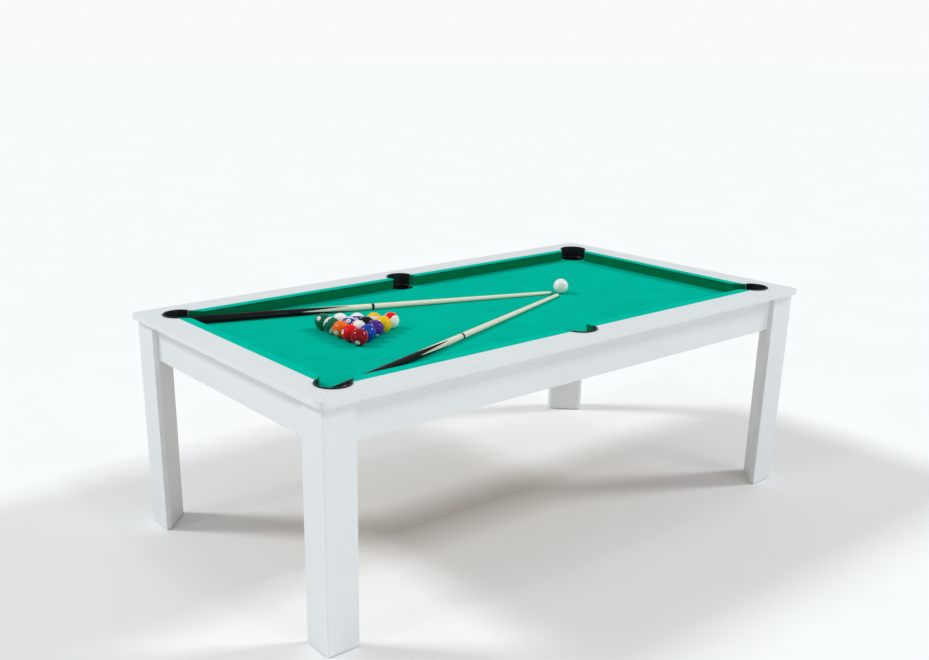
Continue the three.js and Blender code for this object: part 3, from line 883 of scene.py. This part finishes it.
def build_cue(cue):
    matrix, length, tip_radius, butt_radius = cue_frame(cue)

    def radius_at(distance):
        return (tip_radius + (butt_radius - tip_radius) * distance / length) * MM

    def ring(distance, step=0.0):
        return distance * MM, radius_at(distance) - step * MM

    joint_at = joint_distance(cue, matrix)
    ferrule_end = CUE_TIP_LENGTH + FERRULE_LENGTH
    collar = joint_at - COLLAR_HALF - COLLAR_TRIM
    dome = [
        (CUE_TIP_LENGTH * 0.55 * (1 - math.cos(a)) * MM, radius_at(0) * math.sin(a) * 0.97)
        for a in (math.pi / 2 * (i + 0.4) / 6 for i in range(6))
    ]
    shaft_rings = [
        *dome, (CUE_TIP_LENGTH * MM, radius_at(0) * 0.985), ring(CUE_TIP_LENGTH), ring(ferrule_end),
        *[ring(ferrule_end + (collar - ferrule_end) * i / 8) for i in range(1, 9)],
        ring(joint_at - COLLAR_HALF), ring(joint_at - LINER_SEAM / 2),
    ]
    materials = [0] * len(dome) + [0, 1] + [2] * 8 + [1, 3]
    bm = bmesh.new()
    lathe(bm, shaft_rings, CUE_SEGMENTS, matrix, materials)
    add_piece(
        f"{cue}_shaft_turned", bm, [TIP_LEATHER, CREAM_TRIM, MAPLE, BLACK_LACQUER],
        cue, "cue_maple", f"{cue}_shaft", sharp=50,
    )

    after_collar = joint_at + COLLAR_HALF + COLLAR_TRIM
    bumper = length - BUMPER_LENGTH
    bumper_radius = radius_at(bumper) - BUMPER_STEP * MM
    after_splice = SPLICE_END + SPLICE_MARGIN
    butt_rings = [
        ring(joint_at + LINER_SEAM / 2), ring(joint_at + COLLAR_HALF), ring(after_collar),
        ring(SPLICE_START - SPLICE_MARGIN), (splice, radius_at((SPLICE_START + SPLICE_END) / 2)),
        ring(after_splice),
        *[ring(after_splice + (bumper - 1 - after_splice) * i / 5) for i in range(1, 6)],
        ring(bumper - 0.5, 0.4), ring(bumper, BUMPER_STEP),
        *[
            ((bumper + BUMPER_LENGTH * math.sin(a)) * MM, bumper_radius * math.cos(a) ** BUMPER_FULLNESS)
            for a in (math.pi / 2 * i / 8 for i in range(1, 8))
        ],
    ]
    materials = [0, 1, 2, 2, 0] + [0] * 5 + [0, 3] + [3] * 7
    bm = bmesh.new()
    lathe(bm, butt_rings, CUE_SEGMENTS, matrix, materials)
    add_piece(
        f"{cue}_butt_turned", bm, [BLACK_LACQUER, CREAM_TRIM, MAPLE, BUMPER_RUBBER],
        cue, "cue_butt_lacquer", f"{cue}_butt", sharp=50,
    )


def joint_distance(cue, matrix):
    """Where a cue's butt begins, in millimetres from its tip."""
    to_cue = matrix.inverted()
    return min((to_cue @ point).z for point in node_points(f"{cue}_butt")) / MM


for cue in ("cue_far", "cue_near"):
    build_cue(cue)


# ---- Studio ----

FLOOR_HALF = 60  # metres


def add_camera():
    a, e, r = (math.radians(x) for x in (CAMERA_AZIMUTH, CAMERA_ELEVATION, CAMERA_ROLL))
    back = Vector((math.sin(a) * math.cos(e), -math.cos(a) * math.cos(e), math.sin(e)))
    level = Vector((math.cos(a), math.sin(a), 0))
    upright = back.cross(level)
    right = level * math.cos(r) + upright * math.sin(r)
    up = upright * math.cos(r) - level * math.sin(r)
    data = bpy.data.cameras.new("camera")
    data.sensor_width = 36
    data.lens = CAMERA_LENS
    data.shift_x, data.shift_y = CAMERA_SHIFT
    data.clip_start, data.clip_end = 0.1, 200
    camera = bpy.data.objects.new("camera", data)
    bpy.context.scene.collection.objects.link(camera)
    turn = Matrix((right, up, back)).transposed().to_4x4()
    camera.matrix_world = Matrix.Translation(CAMERA_AT) @ turn
    bpy.context.scene.camera = camera


def add_floor():
    material, tree, shader = shader_of("floor_paint", 0.9, Specular_IOR_Level=0.1)
    mottle = noise(tree, scaled_place(tree, (1, 1, 1)), 1.5, 3.0)
    tree.links.new(
        ramp(tree, mottle, (0.3, (0.955, 0.955, 0.955)), (0.7, (0.975, 0.975, 0.975))),
        shader.inputs["Base Color"],
    )
    bm = bmesh.new()
    bmesh.ops.create_grid(bm, x_segments=1, y_segments=1, size=FLOOR_HALF)
    mesh = bpy.data.meshes.new("floor")
    bm.to_mesh(mesh)
    bm.free()
    mesh.materials.append(material)
    floor = bpy.data.objects.new("floor", mesh)
    bpy.context.scene.collection.objects.link(floor)


def add_world(lighting, seen):
    """Pale surroundings, brighter where the camera looks straight at them than as light."""
    world = bpy.data.worlds.new("studio")
    bpy.context.scene.world = world
    world.use_nodes = True
    tree = world.node_tree
    background = tree.nodes["Background"]
    background.inputs["Color"].default_value = (0.975, 0.995, 1, 1)
    path = tree.nodes.new("ShaderNodeLightPath")
    strength = tree.nodes.new("ShaderNodeMapRange")
    strength.inputs["To Min"].default_value = lighting
    strength.inputs["To Max"].default_value = seen
    tree.links.new(path.outputs["Is Camera Ray"], strength.inputs["Value"])
    tree.links.new(strength.outputs["Result"], background.inputs["Strength"])


def add_sun(name, turn, elevation, strength, width, colour):
    """A soft distant light. turn is in degrees to the camera's right, from straight behind it."""
    data = bpy.data.lights.new(name, "SUN")
    data.energy = strength * math.pi
    data.angle = math.radians(width)
    data.color = colour
    sun = bpy.data.objects.new(name, data)
    bpy.context.scene.collection.objects.link(sun)
    sun.rotation_mode = "QUATERNION"
    sun.rotation_quaternion = heading(turn, elevation).to_track_quat("Z", "Y")


add_camera()
add_floor()
add_world(0.44, 0.97)
add_sun("left_softbox", -95, 42, 0.42, 12, (0.95, 0.985, 1.0))
add_sun("right_softbox", 100, 38, 0.36, 12, (0.94, 0.98, 1.0))
add_sun("left_fill", -50, 8, 0.04, 11, (1.0, 0.99, 0.97))
add_sun("right_fill", 38, 8, 0.10, 11, (1.0, 0.99, 0.97))
add_sun("left_glint", -55, 48, 0.04, 3, (1.0, 1.0, 1.0))
add_sun("right_glint", 50, 52, 0.04, 3, (1.0, 1.0, 1.0))

bpy.context.scene.view_settings.view_transform = "Standard"
